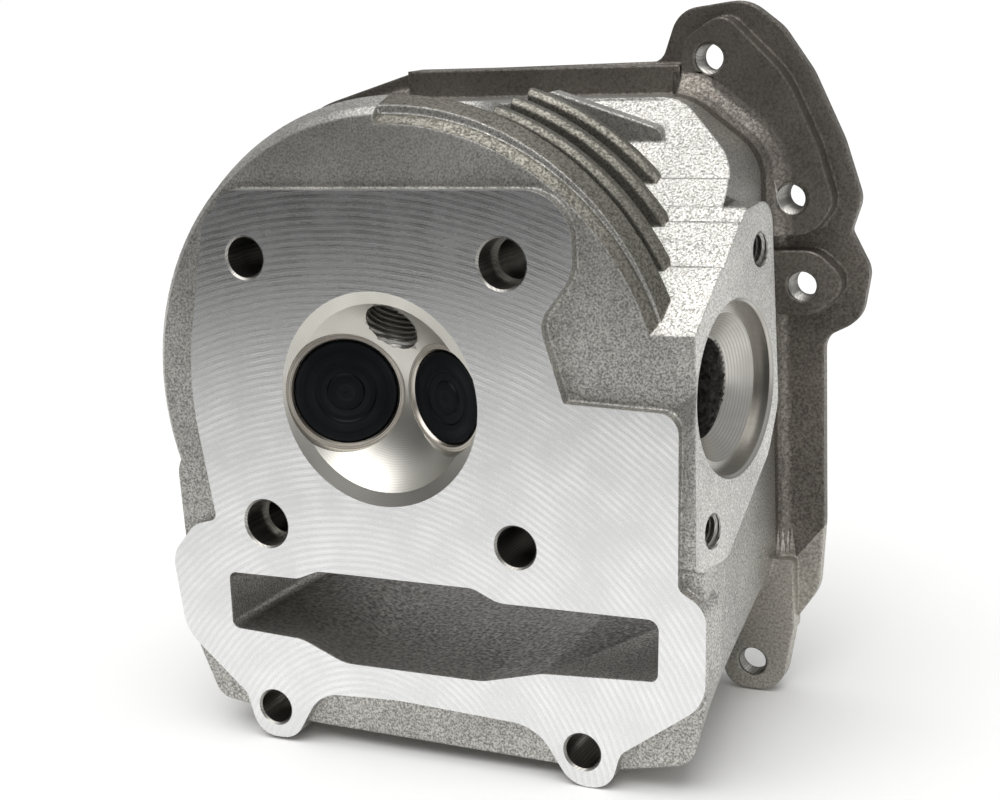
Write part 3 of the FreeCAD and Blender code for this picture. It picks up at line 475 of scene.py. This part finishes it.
def helix_mesh(name, radius, height, angle, profile, place, low=None, high=None, there=None):
    """Stations at (radius, angle, height) carry profile, a closed ring of (radial, axial) offsets in mm.
    Point = (radius + radial) in the station's radial direction + (height + axial) along Z; heights are
    cut off at low and high. Only stations that are there are used: quads join neighbours, and one
    face closes each end of every unbroken run."""
    stations, sides = len(angle), profile.shape[1]
    reach = radius + profile[..., 0]
    rise = height[:, None] + profile[..., 1]
    if low is not None:
        rise = np.clip(rise, low, high)
    local = np.stack([reach * np.cos(angle)[:, None], reach * np.sin(angle)[:, None], rise,
                      np.full_like(rise, 1 / MM)], axis=-1) * MM
    points = local.reshape(-1, 4) @ np.array(place).T
    there = np.ones(stations, bool) if there is None else there
    before, behind = np.append(False, there[:-1]), np.append(there[1:], False)
    there = there & (before | behind)
    before, behind = np.append(False, there[:-1]), np.append(there[1:], False)
    row = (np.cumsum(there) - 1) * sides
    across = np.arange(sides)[None, :]
    after = (across + 1) % sides
    first = row[:-1][there[:-1] & there[1:]][:, None]
    quads = np.stack([first + across, first + after, first + sides + after, first + sides + across], -1)
    starts = (row[there & ~before][:, None] + across[:, ::-1]).tolist()
    ends = (row[there & ~behind][:, None] + across).tolist()
    points = points.reshape(stations, sides, 4)[there].reshape(-1, 4)
    mesh = bpy.data.meshes.new(name)
    mesh.from_pydata(points[:, :3].tolist(), [], quads.reshape(-1, 4).tolist() + starts + ends)
    mesh.validate()
    mesh.update()
    piece = bpy.data.objects.new(name, mesh)
    bpy.context.scene.collection.objects.link(piece)
    return piece


def outwards(piece, smooth=True):
    """Turns every face of a closed piece outwards and shades it smooth where it is round."""
    work = bmesh.new()
    work.from_mesh(piece.data)
    bmesh.ops.recalc_face_normals(work, faces=work.faces)
    work.to_mesh(piece.data)
    work.free()
    piece.data.polygons.foreach_set("use_smooth", np.full(len(piece.data.polygons), smooth))
    return piece


print("helix helper ready")

# %% [markdown]
# ## Valve springs
# Each valve has an outer and an inner spring, wound opposite ways so they can't bind in each other. They
# stand on the hardened washer and push the cap up. The turn at each end climbs the least, and what is left
# of the height is shared among the turns between.

# %% Wind the springs
SPRING_LOW, SPRING_HIGH, LIFT = 30.3, 56.9, 4.5
SPRINGS = {"outer": (9.3, 2.6, 6.5, 1), "inner": (6.75, 1.8, 8.0, -1)}   # coil radius, wire, turns, hand
END_TURNS, CLIMB = 0.85, 0.341        # how long an end turn is, and its rise per turn as a share of the wire
GROUND = 0.25                         # the wire starts this share of itself above its flat end
EASE = 0.25                           # share of the rise that comes gently, the rest is even
SPRING_STEPS, WIRE_SIDES = 48, 16
for side, base in VALVE_BASE.items():
    stem = Vector(STEM_AXIS[side])
    place = axis_frame(Vector(base) * MM, stem)
    for which, (radius, wire, turns, hand) in SPRINGS.items():
        u = np.linspace(0, turns, int(turns * SPRING_STEPS) + 1)
        working = turns - 2 * END_TURNS
        middle = np.clip(u - END_TURNS, 0, working) / working
        shared = middle * middle * (3 - 2 * middle) * EASE + middle * (1 - EASE)
        height = SPRING_LOW + GROUND * wire + CLIMB * wire * u
        height = height + shared * (SPRING_HIGH - GROUND * wire - height[-1])
        ring = np.linspace(0, 2 * pi, WIRE_SIDES, endpoint=False)
        profile = wire / 2 * np.stack([np.cos(ring), np.sin(ring)], -1)[None].repeat(len(u), 0)
        piece = helix_mesh(f"{side}_{which}_coil", radius, height, hand * 2 * pi * u, profile, place,
                           SPRING_LOW, SPRING_HIGH)
        outwards(piece).data.materials.append(spring_steel)
        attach(piece, "head")
        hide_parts(f"{side}_{which}_spring")
        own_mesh(piece)

# %% [markdown]
# ## Screw threads
# The plug hole is M10 with a pitch of 1 mm and the tapped holes are M6, also 1 mm. The CAD hole is the
# thread's root, so the ridge stands half a millimetre inwards from the wall, with its foot a hair
# inside the metal, and fades out over a third of a turn at each end, as a tap leaves it. The plug's
# thread also stops where the chamber's dome cuts through its hole.

# %% Cut the threads
PITCH, RIDGE, RUN_OUT = 1.0, 0.52, 0.9
FOOT, FOOT_HALF, CREST_HALF = 0.03, 0.45, 0.09        # how deep the foot is sunk, and the two half widths
THREAD_STEPS, FADES_PER_TURN = 40, 3
FADE_LEAST, FADE_SEEN = 0.03, 0.02
DOME_EDGE_R, DOME_RISE, DOME_TOP = 17.6, 7.6, 8.6     # the dome is a cap of a sphere
DOME_R = (DOME_EDGE_R ** 2 + DOME_RISE ** 2) / (2 * DOME_RISE)
DOME_MIDDLE = np.array([0, DOME_TOP - DOME_R, 0])
threads = []
for mount in mounts.values():
    if mount["kind"] != "threaded_hole":
        continue
    radius, length = mount["dims"]["r_mm"], mount["dims"]["length_mm"] - RUN_OUT
    turns = length / PITCH
    u = np.linspace(0, turns, int(turns * THREAD_STEPS) + 1)
    fade = np.clip(np.minimum(u, turns - u) * FADES_PER_TURN, FADE_LEAST, 1)
    place = axis_frame(mount["pos_m"], mount["axis"])
    height = u * PITCH - length / 2
    # wall is in millimetres and place in metres, so the last coordinate is 1 / MM instead of 1
    wall = np.stack([radius * np.cos(2 * pi * u), radius * np.sin(2 * pi * u), height, u * 0 + 1 / MM], -1)
    behind_dome = np.linalg.norm((wall @ place.T)[:, :3] - DOME_MIDDLE, axis=1) - DOME_R
    fade = np.minimum(fade, np.clip(behind_dome / 0.5, 0.0, 1)) if mount["name"] == "plug_thread" else fade
    foot, crest = np.full_like(u, FOOT), -RIDGE * fade
    corners = ((foot, -FOOT_HALF), (crest, -CREST_HALF), (crest, CREST_HALF), (foot, FOOT_HALF))
    profile = np.stack([np.stack([reach, np.full_like(u, along)], -1) for reach, along in corners], axis=1)
    piece = helix_mesh(mount["name"] + "_ridge", radius, height, 2 * pi * u, profile, place,
                       there=fade > FADE_SEEN)
    outwards(piece, smooth=False).data.materials.append(bore)
    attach(piece, "head")
    threads.append(piece.name)
print("threads cut:", len(threads))

# %% [markdown]
# ## Floor, light and camera
# The object stands on a pale floor at its own lowest point. A wide soft light overhead, tipped forwards,
# lights the slopes and the fins, a weak lamp in front and the pale surroundings fill the rest, and a dark
# card low in front to the left is what the upper deck mirrors, which makes its cutter marks show.

# %% Build the small studio
def panel(name, middle, normal, width, height):
    """A flat four-cornered sheet: middle plus or minus half of two directions across the normal."""
    turn = Vector(normal).to_track_quat("Z", "Y").to_matrix()
    corners = [(-width / 2, -height / 2), (width / 2, -height / 2), (width / 2, height / 2),
               (-width / 2, height / 2)]
    mesh = bpy.data.meshes.new(name)
    mesh.from_pydata([tuple(Vector(middle) + turn @ Vector((a, b, 0))) for a, b in corners], [],
                     [(0, 1, 2, 3)])
    sheet = bpy.data.objects.new(name, mesh)
    bpy.context.scene.collection.objects.link(sheet)
    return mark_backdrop(sheet) or sheet


def matt(name, colour):
    """Plain matt paint or paper."""
    material, tree, shader = new_material(name)
    shader.inputs["Base Color"].default_value = linear(colour)
    shader.inputs["Roughness"].default_value = 0.9
    shader.inputs["Specular IOR Level"].default_value = 0.0
    return material


floor_z = cad_box[0][2]
floor = panel("floor", (0, 0, floor_z - 0.0002), (0, 0, 1), 12, 12)
floor.data.materials.append(matt("pale_floor", "#F7F7F6"))
card = panel("dark_card", (-0.2, -0.42, floor_z + 0.2), (0.43, 0.9, 0), 1.0, 0.4)
card.data.materials.append(matt("grey_card", "#454545"))
card.visible_camera = False


def lamp(name, place, target, size, power):
    """A square soft lamp that faces the target."""
    light = bpy.data.lights.new(name, "AREA")
    light.size, light.energy = size, power
    piece = bpy.data.objects.new(name, light)
    piece.location = place
    piece.rotation_euler = (Vector(place) - Vector(target)).to_track_quat("Z", "Y").to_euler()
    bpy.context.scene.collection.objects.link(piece)
    return piece


middle = (0.005, 0.03, -0.01)
lamp("front_lamp", (0.25, -0.95, 0.75), middle, 0.6, 2.0)
sky = bpy.data.lights.new("overhead_softbox", "SUN")
sky.energy, sky.angle = 2.1, radians(60)
overhead = bpy.data.objects.new("overhead_softbox", sky)
overhead.rotation_euler = Vector((-0.05, -0.32, 1.0)).to_track_quat("Z", "Y").to_euler()
bpy.context.scene.collection.objects.link(overhead)
world = bpy.data.worlds.new("pale_room")
world.use_nodes = True
room = world.node_tree
room.nodes.clear()
seen = node(room, "LightPath")
paper = node(room, "Background", {"Color": linear("#FFFFFF"), "Strength": 1.0})
walls = node(room, "Background", {"Color": linear("#FFFFFF"), "Strength": 0.5})
both = node(room, "MixShader", {0: seen.outputs["Is Camera Ray"], 1: walls.outputs[0], 2: paper.outputs[0]})
node(room, "OutputWorld", {"Surface": both.outputs[0]})
bpy.context.scene.world = world
bpy.context.scene.view_settings.view_transform = "Standard"
print("floor at", round(floor_z, 4), "m")

# %% [markdown]
# ## Camera
# A longish lens a third of a metre away, to the right of the deck's normal and a little above, tipped
# three degrees: it sees the deck, the exhaust face and the slope with the fins.

# %% Place the camera
CAMERA_AT = Vector((0.1569, -0.2756, 0.0741))
AZIMUTH, ELEVATION, ROLL = 25.66, 13.36, -2.92
lens = bpy.data.cameras.new("camera")
lens.lens, lens.sensor_width = 64.8, 36.0
lens.clip_start = 0.01
camera = bpy.data.objects.new("camera", lens)
aim = Euler((radians(90 - ELEVATION), 0, radians(AZIMUTH))).to_matrix() @ Matrix.Rotation(
    radians(ROLL), 3, "Z")
camera.matrix_world = Matrix.Translation(CAMERA_AT) @ aim.to_4x4()
bpy.context.scene.collection.objects.link(camera)
bpy.context.scene.camera = camera
print("camera looks along", [round(v, 3) for v in aim @ Vector((0, 0, -1))])

# %% [markdown]
# ## Sizes
# The box round the CAD pieces, measured before anything was added, is printed.

# %% Print the CAD box
print("CAD box", [[round(v, 4) for v in c] for c in cad_box])
